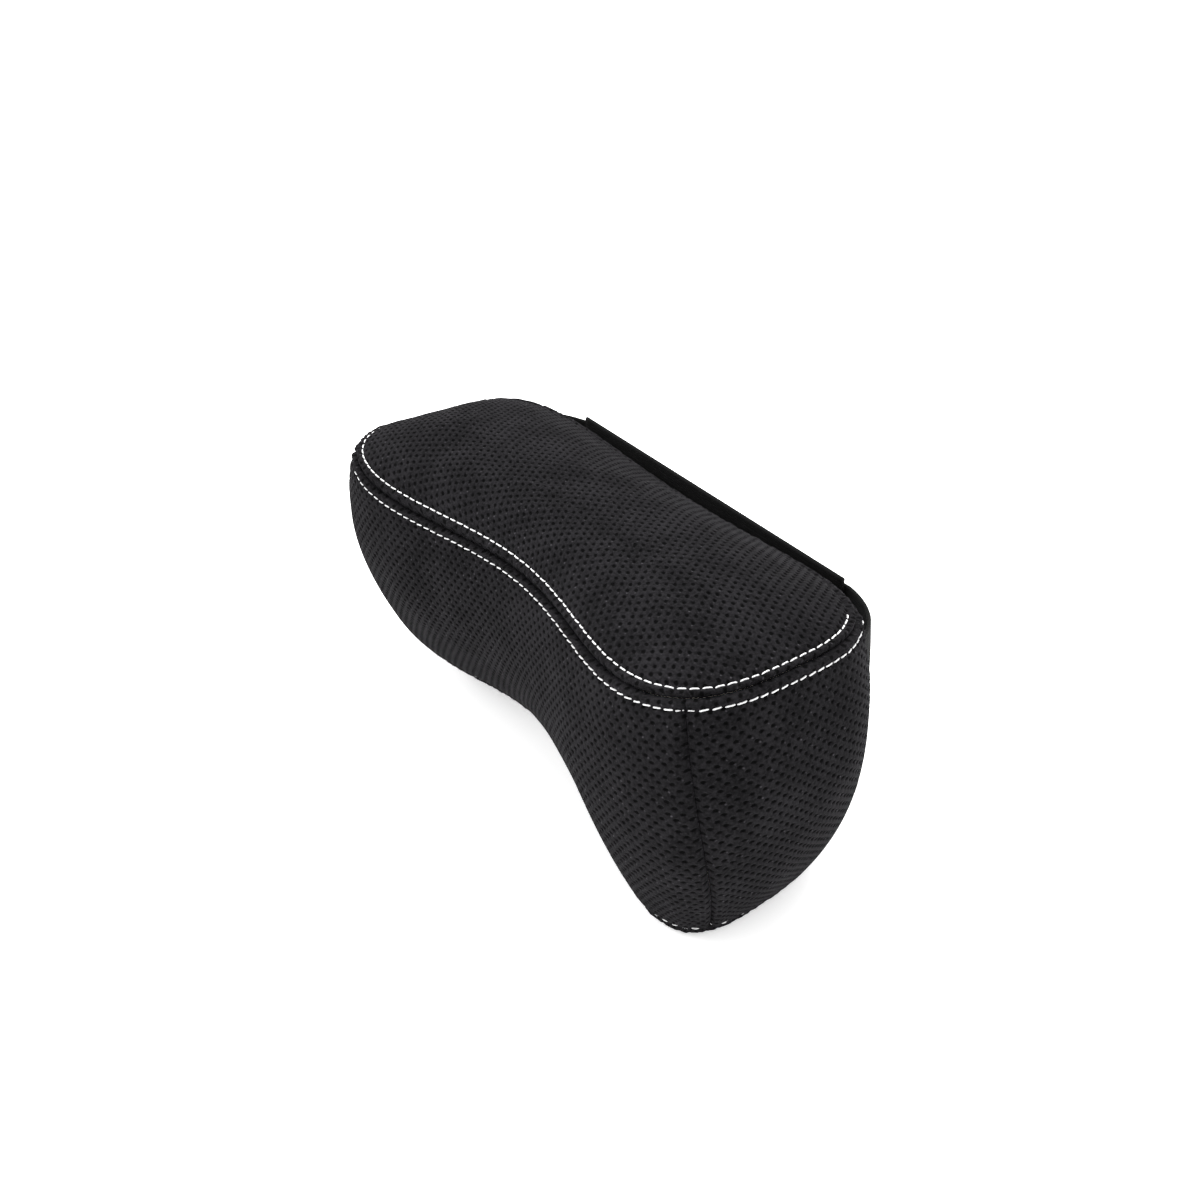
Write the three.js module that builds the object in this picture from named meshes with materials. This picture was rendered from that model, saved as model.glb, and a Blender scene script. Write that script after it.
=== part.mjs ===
// Strap-on neck pillow for an office chair: a moulded foam core in a zipped cover of spacer mesh,
// with an elastic strap across its back. Millimetres. X runs along the pillow, -Y is the face that
// the neck rests on, +Y faces the chair and Z is up. The pillow stands on the floor plane z = 0.
import * as THREE from 'three';

// Outline of the top seam, seen from above.
const halfLength = 132;
const halfDepth = 69.7;
const outlineY = -8.35;
const outlinePower = 3.03; // 2 is an ellipse, larger is squarer
const neckHollow = 0.572; // share of the half depth that the neck hollow takes away at the middle
const backHollow = 0.112;
const hollowReach = 1.26; // in half lengths

// Heights of the top seam, the domed top over it and the arched underside.
const seamHeight = 116;
const seamRise = 17;
const seamRisePower = 2.37;
const crownHeight = 139.4;
const crownPower = 2.34;
const crownRoundness = 0.738;
const ridgeY = -11.1;
const ridgeShare = 0.625; // length of the dome's ridge as a share of the outline
const baseArch = 26.8;
const footX = 95.4; // the underside is flat beyond this distance from the middle
const baseArchPower = 2.72;

// Side walls: how far they swell between the seams, and how far they tuck under at the base.
const swell = { front: 11.5, end: 14.1, back: 3.9 };
const tuck = { front: 11.2, end: 12.6, back: 13.2 };
const tuckPower = 2;
const twist = 8.4; // how much higher than the front the back edge stands at the -X end
const crownTilt = 5.9; // the same for the dome's ridge

// Round this share of the way round, at the -X end, the top seam dips.
const dip = { depth: 9.9, share: 0.73, spread: 0.06 };

// The foot of the -X front lobe is pressed in and lifted, round this share of the way round.
const pressed = { depth: 19.2, lift: 0.55, share: 0.83, spread: 0.075, power: 1.6 };

// Cover and core.
const meshThickness = 3;
const coreInset = 6.6;
const seamGap = 0.3;
const threadRadius = 0.35;
const threadProud = 0.95;

// The grid that every soft surface is drawn on: columns round the outline, rows from the top ridge
// (row 0) to the top seam (1), the base seam (2) and the ridge of the underside (3).
const cornerShare = 0.183; // the corner seams, as a share of the way round from the middle
const columnsToCorner = 8;
const columnsRoundEnd = 4;
const quarter = columnsToCorner + columnsRoundEnd;
const columns = 4 * quarter;
const lastStitchColumn = 2 * quarter - columnsToCorner; // the rows stop at the back corners
const upperStitchRow = 0.942;
const lowerStitchRow = 1.029;
const baseStitchRow = 1.958;
const topRows = [0, 0.2, 0.4, 0.6, 0.8, upperStitchRow];
const wallRows = [lowerStitchRow, 1.15, 1.3, 1.5, 1.7, 1.85, baseStitchRow];
const baseRows = [2.2, 2.5, 2.8, 3];
const topGapShare = seamGap / 50; // seamGap as a share of the rows of the top
const wallGapShare = seamGap / 115;
const cornerGap = seamGap / 700; // and of the way round

// Strap and its end tabs.
const strapWidth = 50;
const strapTop = 118.6;
const strapThickness = 1.6;
const strapY = 62.25; // inner face
const strapHalf = 87.5;
const tabWidth = 41;
const tabRise = 6; // from the strap to the corner seam
const tabStepDown = 3.5;
const tabThickness = 1.4;
const tabOuter = { x: 115, y: 45.4 };
const tackReach = 5; // length of the tack that locks the lower stitch row at the corner seam
const tackRadius = 0.5;

// Zip, which runs straight along X in the back wall.
const slotHalf = 8.6; // the slot in the back wall that holds the tapes
const slotReach = 100; // the two back panels meet beyond this distance from the middle
const zipTilt = THREE.MathUtils.degToRad(12);
const zipCentre = { y: 48.35, z: 46 };
const zipHalf = 91;
const tapeWidth = 5.4;
const tapeThickness = 0.8;
const coilWidth = 1.5;
const coilThickness = 1.4;
const coilSlit = 1.4; // between the two coils, where the slider's web runs
const stopLength = 2;
const sliderLength = 9;
const sliderWidth = 7.6;
const sliderPlate = 1;
const sliderWeb = 0.8;
const runningGap = 0.3;
const bridgeHalf = 3.4;
const bridgeHeight = 4;
const bridgeWall = 0.8;
const bridgeThickness = 1.2;
const pullLength = 22; // from its hinge bar to its tip
const pullWidth = 5;
const pullThickness = 1.2;
const pullEye = { length: 4.8, width: 2.2 };
const pullBar = 1; // the bar that runs under the bridge

const meshBlack = 0x1b1b1e;
const materials = {
  mesh: new THREE.MeshStandardMaterial({ color: meshBlack, roughness: 0.95 }),
  foam: new THREE.MeshStandardMaterial({ color: 0xe9e4d6, roughness: 1 }),
  thread: new THREE.MeshStandardMaterial({ color: 0xf2f2f0, roughness: 0.6 }),
  elastic: new THREE.MeshStandardMaterial({ color: 0x101012, roughness: 0.9 }),
  tape: new THREE.MeshStandardMaterial({ color: 0x141416, roughness: 0.9 }),
  coil: new THREE.MeshStandardMaterial({ color: 0x18181a, roughness: 0.4 }),
  zipMetal: new THREE.MeshStandardMaterial({ color: 0x2a2a2c, roughness: 0.35, metalness: 0.8 }),
};

// Squared oval that the outline starts from. It has the same shape in all four quarters.
class SquaredOval extends THREE.Curve {
  getPoint(t, target = new THREE.Vector3()) {
    const angle = 2 * Math.PI * t;
    const squared = (value) => Math.sign(value) * Math.abs(value) ** (2 / outlinePower);
    return target.set(halfLength * squared(Math.sin(angle)), -halfDepth * squared(Math.cos(angle)), 0);
  }
}
const oval = new SquaredOval();
oval.arcLengthDivisions = 4000;

// Where column number `column` crosses the outline, as a share of the way round. Column 0 is the
// middle of the front, and the columns run towards +X.
function shareOf(column) {
  const turned = ((column % columns) + columns) % columns;
  const side = Math.floor(turned / quarter);
  const step = turned - side * quarter;
  const fromMiddle = side % 2 === 0 ? step : quarter - step;
  const share = fromMiddle <= columnsToCorner
    ? (cornerShare * fromMiddle) / columnsToCorner
    : cornerShare + ((0.25 - cornerShare) * (fromMiddle - columnsToCorner)) / columnsRoundEnd;
  return [share, 0.5 - share, 0.5 + share, 1 - share][side];
}

// How near a share is to the place of a dip or a press, 1 at its middle.
function nearness(share, place) {
  const around = ((share % 1) + 1) % 1;
  return Math.exp(-(((around - place.share) / place.spread) ** 2));
}

// Point of the top seam.
function seamPoint(share) {
  const point = oval.getPointAt(((share % 1) + 1) % 1);
  const reach = Math.min(Math.abs(point.x) / halfLength / hollowReach, 1);
  const depth = point.y < 0 ? neckHollow : backHollow;
  const hollow = 1 - depth * Math.cos((reach * Math.PI) / 2) ** 2;
  const rise = seamRise * (Math.abs(point.x) / halfLength) ** seamRisePower;
  const turn = (-twist * (point.x / halfLength) * (1 + point.y / halfDepth)) / 2;
  const height = seamHeight + rise + turn - dip.depth * nearness(share, dip);
  return new THREE.Vector3(point.x, outlineY + point.y * hollow, height);
}

// Direction in plan that points out of the outline.
function planNormal(share) {
  const step = 0.002;
  const along = seamPoint(share + step).sub(seamPoint(share - step));
  return new THREE.Vector3(along.y, -along.x, 0).normalize();
}

function mixed(sizes, normal) {
  const facing = normal.y < 0 ? sizes.front : sizes.back;
  return facing * normal.y ** 2 + sizes.end * normal.x ** 2;
}

function baseHeight(x) {
  return Math.max(0, baseArch * (1 - (Math.abs(x) / footX) ** baseArchPower));
}

// Point of the wall: `down` is 0 at the top seam and 1 at the base seam.
function wallPoint(down, share) {
  const top = seamPoint(share);
  const normal = planNormal(share);
  const out = (4 * down * (1 - down)) ** 0.8 * mixed(swell, normal) - down ** tuckPower * mixed(tuck, normal);
  const point = top.clone().addScaledVector(normal, out);
  const foot = top.clone().addScaledVector(normal, -mixed(tuck, normal));
  point.z = THREE.MathUtils.lerp(top.z, baseHeight(foot.x), down);
  const press = pressed.depth * nearness(share, pressed) * down ** pressed.power;
  point.y += press;
  point.z += pressed.lift * press;
  return point;
}

// Point of the outer surface.
function surfacePoint(row, share) {
  if (row <= 1) {
    const seam = seamPoint(share);
    const crown = crownHeight - (crownTilt * seam.x * ridgeShare) / halfLength;
    const point = new THREE.Vector3(seam.x * ridgeShare, ridgeY, seam.z).lerp(seam, row);
    point.z += (crown - seam.z) * (1 - row ** crownPower) ** crownRoundness;
    return point;
  }
  if (row <= 2) return wallPoint(row - 1, share);
  const foot = wallPoint(1, share);
  const point = new THREE.Vector3(foot.x * ridgeShare, ridgeY, 0).lerp(foot, 3 - row);
  point.z = baseHeight(point.x) + (foot.z - baseHeight(foot.x)) * (3 - row) ** 2;
  return point;
}

// Outward direction of the surface, averaged across a seam so that both panels share it.
function outward(row, share) {
  if (row < 0.15) return new THREE.Vector3(0, 0, 1);
  if (row > 2.15) return new THREE.Vector3(0, 0, -1);
  const rowStep = 0.05;
  const shareStep = 0.005;
  const down = surfacePoint(row + rowStep, share).sub(surfacePoint(row - rowStep, share));
  const along = surfacePoint(row, share + shareStep).sub(surfacePoint(row, share - shareStep));
  return down.cross(along).normalize();
}

function insetPoint(row, share, inset) {
  return surfacePoint(row, share).addScaledVector(outward(row, share), -inset);
}

// Solid from a list of faces, each a ring of three or four points in outward order.
function solidFromFaces(faces) {
  const positions = [];
  for (const face of faces) {
    for (let corner = 2; corner < face.length; corner += 1) {
      positions.push(...face[0].toArray(), ...face[corner - 1].toArray(), ...face[corner].toArray());
    }
  }
  const geometry = new THREE.BufferGeometry();
  geometry.setAttribute('position', new THREE.Float32BufferAttribute(positions, 3));
  geometry.computeVertexNormals();
  return geometry;
}

// Faces of one skin of the grid. `points` is a list of rows of points.
function skinFaces(points, facesOut) {
  const faces = [];
  for (let i = 0; i + 1 < points.length; i += 1) {
    for (let j = 0; j + 1 < points[i].length; j += 1) {
      const face = [points[i][j], points[i + 1][j], points[i + 1][j + 1], points[i][j + 1]];
      faces.push(facesOut ? face : face.reverse());
    }
  }
  return faces;
}

// Strip between the same edge of two skins.
function edgeFaces(outer, inner) {
  return outer.slice(1).map((point, j) => [outer[j], point, inner[j + 1], inner[j]]);
}

// Rows of points round the whole outline. On a ridge the front and back columns meet in one point.
function ringRows(rows, inset) {
  return rows.map((row) => {
    const ring = Array.from({ length: columns }, (_, j) => insetPoint(row, shareOf(j), inset));
    if (row === 0 || row === 3) {
      for (let j = quarter + 1; j < 3 * quarter; j += 1) ring[j] = ring[(columns + columns / 2 - j) % columns];
    }
    return [...ring, ring[0]];
  });
}

// Panel of the mesh that runs right round the outline, closed at a ridge.
function cappedPanel(rows) {
  const outer = ringRows(rows, 0);
  const inner = ringRows(rows, meshThickness);
  const rimIsLast = rows[0] === 0;
  const rim = rimIsLast
    ? edgeFaces(outer.at(-1).toReversed(), inner.at(-1).toReversed())
    : edgeFaces(outer[0], inner[0]);
  return solidFromFaces([...skinFaces(outer, true), ...skinFaces(inner, false), ...rim]);
}

// Row of the wall that lies `side` (1 or -1) of the zip: straight along the slot, closed beyond it.
function slotRow(side) {
  return (share) => {
    const top = wallPoint(0, share);
    const foot = wallPoint(1, share);
    const half = Math.abs(top.x) < slotReach ? slotHalf : seamGap;
    return 1 + (top.z - zipCentre.z - side * half) / (top.z - foot.z);
  };
}

// Panel of the wall between two columns. A row is a number, or gives its number at each share.
function wallPanel(rows, firstColumn, lastColumn) {
  const shares = [];
  for (let column = firstColumn; column <= lastColumn; column += 1) {
    let share = shareOf(column) - (column < 0 ? 1 : 0);
    if (column === firstColumn) share += cornerGap;
    if (column === lastColumn) share -= cornerGap;
    shares.push(share);
  }
  const rowAt = (row, share) => (typeof row === 'function' ? row(share) : row);
  const grid = (inset) => rows.map((row) => (
    shares.map((share) => insetPoint(rowAt(row, share), share, inset))
  ));
  const outer = grid(0);
  const inner = grid(meshThickness);
  const side = (points, j) => points.map((line) => line.at(j));
  return solidFromFaces([
    ...skinFaces(outer, true),
    ...skinFaces(inner, false),
    ...edgeFaces(outer[0], inner[0]),
    ...edgeFaces(outer.at(-1).toReversed(), inner.at(-1).toReversed()),
    ...edgeFaces(side(outer, 0).toReversed(), side(inner, 0).toReversed()),
    ...edgeFaces(side(outer, -1), side(inner, -1)),
  ]);
}

// Sewn thread that lies on the surface along a row, through the given shares of the way round.
function thread(row, shares, radius) {
  const points = shares.map((share) => insetPoint(row, share, -threadProud));
  const section = new THREE.Shape();
  section.absarc(0, 0, radius, 0, 2 * Math.PI);
  return new THREE.ExtrudeGeometry(section, {
    steps: 2 * points.length,
    curveSegments: 4,
    extrudePath: new THREE.CatmullRomCurve3(points),
  });
}

// Row of topstitching round the front and both ends.
function threadRow(row) {
  const shares = [];
  for (let column = -lastStitchColumn; column <= lastStitchColumn; column += 1) shares.push(shareOf(column));
  return thread(row, shares, threadRadius);
}

function mesh(name, geometry, material) {
  const made = new THREE.Mesh(geometry, material);
  made.name = name;
  return made;
}

function coverPanels() {
  const corner = columnsToCorner;
  const farCorner = 2 * quarter - corner;
  const topEdge = 1 + wallGapShare;
  const baseEdge = 2 - wallGapShare;
  const wholeWall = [topEdge, ...wallRows, baseEdge];
  const upperRows = [topEdge, ...wallRows.slice(0, 4), slotRow(1)];
  const lowerRows = [slotRow(-1), ...wallRows.slice(5), baseEdge];
  return [
    mesh('cover_top_panel', cappedPanel([...topRows, 1 - topGapShare]), materials.mesh),
    mesh('cover_front_band', wallPanel(wholeWall, -corner, corner), materials.mesh),
    mesh('cover_end_panel_right', wallPanel(wholeWall, corner, farCorner), materials.mesh),
    mesh('cover_end_panel_left', wallPanel(wholeWall, -farCorner, -corner), materials.mesh),
    mesh('cover_back_upper', wallPanel(upperRows, farCorner, columns - farCorner), materials.mesh),
    mesh('cover_back_lower', wallPanel(lowerRows, farCorner, columns - farCorner), materials.mesh),
    mesh('cover_bottom_panel', cappedPanel([2 + topGapShare, ...baseRows]), materials.mesh),
  ];
}

function foamCore() {
  const rows = [...topRows, 1, ...wallRows.slice(1, -1), 2, ...baseRows];
  return mesh('foam_core', solidFromFaces(skinFaces(ringRows(rows, coreInset), true)), materials.foam);
}

function topstitching() {
  return [
    mesh('topstitch_top_upper', threadRow(upperStitchRow), materials.thread),
    mesh('topstitch_top_lower', threadRow(lowerStitchRow), materials.thread),
    mesh('topstitch_bottom', threadRow(baseStitchRow), materials.thread),
  ];
}

function box(name, size, centre, material) {
  const made = mesh(name, new THREE.BoxGeometry(...size), material);
  made.position.set(...centre);
  return made;
}

// Height that the back edge's twist adds at x.
function twistAt(x) {
  return (-twist * x) / halfLength;
}

// Flat band: four corners of its inner face in outward order, and its thickness towards +Y.
function band(name, corners, thickness) {
  const inner = corners.map((corner) => new THREE.Vector3(...corner));
  const outer = inner.map((point) => point.clone().add(new THREE.Vector3(0, thickness, 0)));
  const sides = inner.map((point, i) => {
    const next = (i + 1) % inner.length;
    return [point, outer[i], outer[next], inner[next]];
  });
  return mesh(name, solidFromFaces([[...inner], [...outer].reverse(), ...sides]), materials.elastic);
}

// Webbing tab from the strap's end to the corner seam.
function strapTab(name, side) {
  const innerX = strapHalf + seamGap;
  const top = strapTop - tabStepDown + twistAt(side * innerX);
  const corners = [
    [side * innerX, strapY, top - tabWidth],
    [side * tabOuter.x, tabOuter.y, top - tabWidth + tabRise],
    [side * tabOuter.x, tabOuter.y, top + tabRise],
    [side * innerX, strapY, top],
  ];
  return band(name, side > 0 ? corners : corners.reverse(), tabThickness);
}

// Elastic strap, drawn straight between its tabs.
function elasticStrap() {
  const ends = [-strapHalf, strapHalf];
  const bottom = ends.map((x) => [x, strapY, strapTop - strapWidth + twistAt(x)]);
  const top = ends.map((x) => [x, strapY, strapTop + twistAt(x)]);
  return band('elastic_strap', [...bottom, ...top.reverse()], strapThickness);
}

// White tack just past the corner seam, where the lower stitch row ends behind the tab.
function barTack(name, side) {
  const start = shareOf(lastStitchColumn) + 0.004;
  const end = start + tackReach / (2 * Math.PI * halfLength);
  const shares = [start, (start + end) / 2, end].map((share) => (side > 0 ? share : 1 - share));
  return mesh(name, thread(lowerStitchRow, shares, tackRadius), materials.thread);
}

function strap() {
  return [
    elasticStrap(),
    strapTab('strap_tab_right', 1),
    strapTab('strap_tab_left', -1),
    barTack('bartack_right', 1),
    barTack('bartack_left', -1),
  ];
}

// Zip, drawn lying flat with its outer side up the +Y of its own frame and its tapes above and below.
function zip() {
  const frame = new THREE.Group();
  frame.position.set(0, zipCentre.y, zipCentre.z);
  frame.rotation.x = -zipTilt;
  const coilZ = coilSlit / 2 + coilWidth / 2;
  const tapeZ = coilSlit / 2 + coilWidth + seamGap + tapeWidth / 2;
  const stopX = zipHalf - stopLength / 2;
  const coilLength = 2 * (zipHalf - stopLength - seamGap);
  for (const [place, sign] of [['upper', 1], ['lower', -1]]) {
    frame.add(box(`zip_tape_${place}`, [2 * zipHalf, tapeThickness, tapeWidth], [0, 0, sign * tapeZ], materials.tape));
    frame.add(box(`zip_coil_${place}`, [coilLength, coilThickness, coilWidth], [0, 0, sign * coilZ], materials.coil));
    frame.add(box(
      `zip_top_stop_${place}`,
      [stopLength, coilThickness + 0.6, coilWidth],
      [stopX, 0, sign * coilZ],
      materials.zipMetal,
    ));
  }
  const bottomStopWidth = coilSlit + 2 * coilWidth;
  frame.add(box(
    'zip_bottom_stop',
    [stopLength, coilThickness + 0.6, bottomStopWidth],
    [-stopX, 0, 0],
    materials.zipMetal,
  ));
  frame.add(slider(), sliderBridge(), pullTab());
  return frame;
}

const sliderX = zipHalf - stopLength - sliderLength / 2 - 1;
const plateInside = coilThickness / 2 + runningGap;
const plateOutside = plateInside + sliderPlate;
const hingeY = plateOutside + seamGap + 1.15; // axis of the pull's hinge bar

// Slider body: two plates joined by a web that runs in the slit between the coils.
function slider() {
  const half = sliderWidth / 2;
  const web = sliderWeb / 2;
  const quarterSection = [[half, plateOutside], [half, plateInside], [web, plateInside]];
  const rightSide = [...quarterSection, ...quarterSection.toReversed().map(([x, y]) => [x, -y])];
  const leftSide = rightSide.toReversed().map(([x, y]) => [-x, y]);
  const section = new THREE.Shape([...rightSide, ...leftSide].map(([x, y]) => new THREE.Vector2(x, y)));
  const body = new THREE.ExtrudeGeometry(section, { depth: sliderLength, bevelEnabled: false });
  body.rotateY(Math.PI / 2);
  body.translate(sliderX - sliderLength / 2, 0, 0);
  return mesh('zip_slider', body, materials.zipMetal);
}

// Arched bridge on the slider, which holds the pull's hinge bar.
function sliderBridge() {
  const corner = 1;
  const arch = new THREE.Shape();
  const base = plateOutside + seamGap;
  const inside = bridgeHalf - bridgeWall;
  arch.moveTo(-bridgeHalf, base);
  arch.lineTo(-inside, base);
  arch.lineTo(-inside, base + bridgeHeight - bridgeWall);
  arch.lineTo(inside, base + bridgeHeight - bridgeWall);
  arch.lineTo(inside, base);
  arch.lineTo(bridgeHalf, base);
  arch.lineTo(bridgeHalf, base + bridgeHeight - corner);
  arch.lineTo(bridgeHalf - corner, base + bridgeHeight);
  arch.lineTo(corner - bridgeHalf, base + bridgeHeight);
  arch.lineTo(-bridgeHalf, base + bridgeHeight - corner);
  const made = new THREE.ExtrudeGeometry(arch, { depth: bridgeThickness, bevelEnabled: false });
  made.translate(sliderX, 0, -bridgeThickness / 2);
  return mesh('zip_slider_bridge', made, materials.zipMetal);
}

// Pull tab, lying flat towards -X: an eye round the bridge's leg and a round-ended tongue.
function pullTab() {
  const half = pullWidth / 2;
  const outline = new THREE.Shape();
  outline.moveTo(pullBar / 2, -half);
  outline.lineTo(pullBar / 2, half);
  outline.lineTo(half - pullLength, half);
  outline.absarc(half - pullLength, 0, half, Math.PI / 2, (3 * Math.PI) / 2);
  const eyeHalf = pullEye.width / 2;
  const eye = new THREE.Path();
  eye.moveTo(-pullBar / 2, -eyeHalf);
  eye.lineTo(-pullBar / 2 - pullEye.length, -eyeHalf);
  eye.lineTo(-pullBar / 2 - pullEye.length, eyeHalf);
  eye.lineTo(-pullBar / 2, eyeHalf);
  outline.holes.push(eye);
  const flat = new THREE.ExtrudeGeometry(outline, {
    depth: pullThickness,
    bevelEnabled: false,
    curveSegments: 8,
  });
  flat.rotateX(Math.PI / 2);
  flat.translate(sliderX, hingeY + pullThickness / 2, 0);
  return mesh('zip_pull', flat, materials.zipMetal);
}

const pillow = new THREE.Group();
pillow.add(foamCore(), ...coverPanels(), ...topstitching(), ...strap(), zip());

export default pillow;
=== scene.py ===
"""Looks of a strap-on neck pillow for an office chair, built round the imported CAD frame.

The cover is seven panels of black spacer mesh with white topstitching over a foam core. An elastic
strap crosses its back, and a zip in the back wall lets the core out. Lengths are in metres: X runs
along the pillow, -Y is the side that the neck rests on and Z is up.
"""

import math

import bpy
import numpy as np
from mathutils import Matrix, Vector


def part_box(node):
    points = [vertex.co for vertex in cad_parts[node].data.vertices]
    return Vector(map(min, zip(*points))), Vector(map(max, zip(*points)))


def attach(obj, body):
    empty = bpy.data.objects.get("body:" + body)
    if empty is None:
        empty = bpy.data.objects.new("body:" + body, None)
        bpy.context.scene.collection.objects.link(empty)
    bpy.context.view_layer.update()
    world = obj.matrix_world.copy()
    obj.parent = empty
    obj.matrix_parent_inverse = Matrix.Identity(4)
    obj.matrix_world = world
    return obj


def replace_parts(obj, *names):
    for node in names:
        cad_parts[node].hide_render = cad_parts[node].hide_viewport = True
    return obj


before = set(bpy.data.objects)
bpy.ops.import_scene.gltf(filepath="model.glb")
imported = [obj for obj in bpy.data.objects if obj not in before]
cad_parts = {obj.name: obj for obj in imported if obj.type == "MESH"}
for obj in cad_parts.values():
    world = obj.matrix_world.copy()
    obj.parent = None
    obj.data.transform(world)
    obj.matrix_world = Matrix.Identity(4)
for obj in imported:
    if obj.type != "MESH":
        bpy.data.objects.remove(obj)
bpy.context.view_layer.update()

MM = 0.001

# Outline of the top seam, seen from above, as the CAD part has it.
HALF_LENGTH = 132 * MM
HALF_DEPTH = 69.7 * MM
OUTLINE_Y = -8.35 * MM
OUTLINE_POWER = 3.03
NECK_HOLLOW = 0.572
BACK_HOLLOW = 0.112
HOLLOW_REACH = 1.26

# Heights of the top seam, the domed top over it and the arched underside.
SEAM_HEIGHT = 116 * MM
SEAM_RISE = 17 * MM
SEAM_RISE_POWER = 2.37
CROWN_HEIGHT = 139.4 * MM
CROWN_POWER = 2.34
CROWN_ROUNDNESS = 0.738
RIDGE_Y = -11.1 * MM
RIDGE_SHARE = 0.625
BASE_ARCH = 26.8 * MM
FOOT_X = 95.4 * MM
BASE_ARCH_POWER = 2.72

# Side walls: how far they swell between the seams, and how far they tuck under at the base.
SWELL = {"front": 11.5 * MM, "end": 14.1 * MM, "back": 3.9 * MM}
TUCK = {"front": 11.2 * MM, "end": 12.6 * MM, "back": 13.2 * MM}
TUCK_POWER = 2
SWELL_POWER = 0.8
CROWN_TILT = 5.9 * MM  # how much higher the dome's ridge stands at the -X end
TWIST = 8.4 * MM  # how much higher than the front the back edge stands at the -X end
FAR_DROP = 9.9 * MM  # how far the top seam dips round the -X end
FAR_DROP_SHARE = 0.73
FAR_DROP_SPREAD = 0.06
FAR_TUCK = 19.2 * MM  # how far the foot of the -X front lobe is pressed in
FAR_TUCK_SHARE = 0.83
FAR_TUCK_SPREAD = 0.075
FAR_TUCK_LIFT = 0.55
FAR_TUCK_POWER = 1.6

# Cover: panels between seams. A row is 0 on the top's ridge, 1 at the top seam, 2 at the base seam
# and 3 on the underside's ridge. A share is the way round from the middle of the front, towards +X.
MESH_THICKNESS = 3 * MM
CORE_INSET = 6.6 * MM
CORNER = 0.183
CORNER_SLANT = 0.022  # how much further round the front corner seams are at the base
PERIMETER = 670 * MM
UPPER_STITCH_ROW = 0.942
LOWER_STITCH_ROW = 1.029
BASE_STITCH_ROW = 1.952
PANEL_GAP = 0.00012  # half the gap between two panels, as a share of the way round
GRID_STEP = 0.66 * MM  # of the fine mesh that carries the holes of the fabric
INNER_STEP = 6  # fine steps to each step of a panel's inner side

# Holes of the spacer mesh, in staggered rows.
HOLE_PITCH = 4.4 * MM
HOLE_ROW = 2.5 * MM
HOLE_HALF = (0.95 * MM, 0.74 * MM)
HOLE_DEPTH = 0.6 * MM
TOP_GRAIN = math.radians(-11)  # how far the knit's rows turn from the panel's own direction
WALL_GRAIN = math.radians(6)

# Topstitching.
STITCH_PITCH = 4.3 * MM
THREAD_RADIUS = 0.31 * MM
FINE_THREAD = 0.28 * MM
STITCH_SPACE = 0.17  # share of the pitch that the thread spends inside the cloth

# Strap, tabs and zip take their places from the frame.
ZIP_TILT = math.radians(12)
ZIP_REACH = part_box("zip_tape_upper")[1].x
ZIP_MIDDLE = sum(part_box("zip_bottom_stop"), Vector()) / 2
RIB_PITCH = 1.3 * MM


# ---------------------------------------------------------------- shape of the pillow


def _oval():
    """Points of the squared oval that the outline starts from, and the share of the way at each."""
    angle = np.linspace(0, 2 * np.pi, 8001)

    def squared(value):
        return np.sign(value) * np.abs(value) ** (2 / OUTLINE_POWER)

    x = HALF_LENGTH * squared(np.sin(angle))
    y = -HALF_DEPTH * squared(np.cos(angle))
    way = np.concatenate([[0], np.cumsum(np.hypot(np.diff(x), np.diff(y)))])
    return x, y, way / way[-1]


OVAL_X, OVAL_Y, OVAL_SHARE = _oval()


def unit(vectors):
    return vectors / np.linalg.norm(vectors, axis=-1, keepdims=True)


def seam_point(share):
    """Points of the top seam."""
    share = np.mod(share, 1)
    x = np.interp(share, OVAL_SHARE, OVAL_X)
    y = np.interp(share, OVAL_SHARE, OVAL_Y)
    reach = np.minimum(np.abs(x) / HALF_LENGTH / HOLLOW_REACH, 1)
    depth = np.where(y < 0, NECK_HOLLOW, BACK_HOLLOW)
    hollow = 1 - depth * np.cos(reach * np.pi / 2) ** 2
    rise = SEAM_RISE * (np.abs(x) / HALF_LENGTH) ** SEAM_RISE_POWER
    rise = rise - TWIST * x / HALF_LENGTH * (1 + y / HALF_DEPTH) / 2
    rise = rise - FAR_DROP * bell(share, FAR_DROP_SHARE, FAR_DROP_SPREAD)
    return np.stack([x, OUTLINE_Y + y * hollow, SEAM_HEIGHT + rise], -1)


def plan_normal(share):
    along = seam_point(share + 0.002) - seam_point(share - 0.002)
    return unit(np.stack([along[..., 1], -along[..., 0], np.zeros_like(along[..., 0])], -1))


def mixed(sizes, normal):
    facing = np.where(normal[..., 1] < 0, sizes["front"], sizes["back"])
    return facing * normal[..., 1] ** 2 + sizes["end"] * normal[..., 0] ** 2


def base_height(x):
    return np.maximum(0, BASE_ARCH * (1 - (np.abs(x) / FOOT_X) ** BASE_ARCH_POWER))


def wall_point(down, share):
    """Points of the wall: down is 0 at the top seam and 1 at the base seam."""
    top = seam_point(share)
    normal = plan_normal(share)
    tuck = mixed(TUCK, normal)
    out = (4 * down * (1 - down)) ** SWELL_POWER * mixed(SWELL, normal) - down**TUCK_POWER * tuck
    point = top + normal * out[..., None]
    foot_x = top[..., 0] - normal[..., 0] * tuck
    point[..., 2] = top[..., 2] + (base_height(foot_x) - top[..., 2]) * down
    nearness = bell(np.mod(share, 1), FAR_TUCK_SHARE, FAR_TUCK_SPREAD)
    pressed = FAR_TUCK * nearness * down**FAR_TUCK_POWER
    point[..., 1] += pressed
    point[..., 2] += FAR_TUCK_LIFT * pressed
    return point


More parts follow.
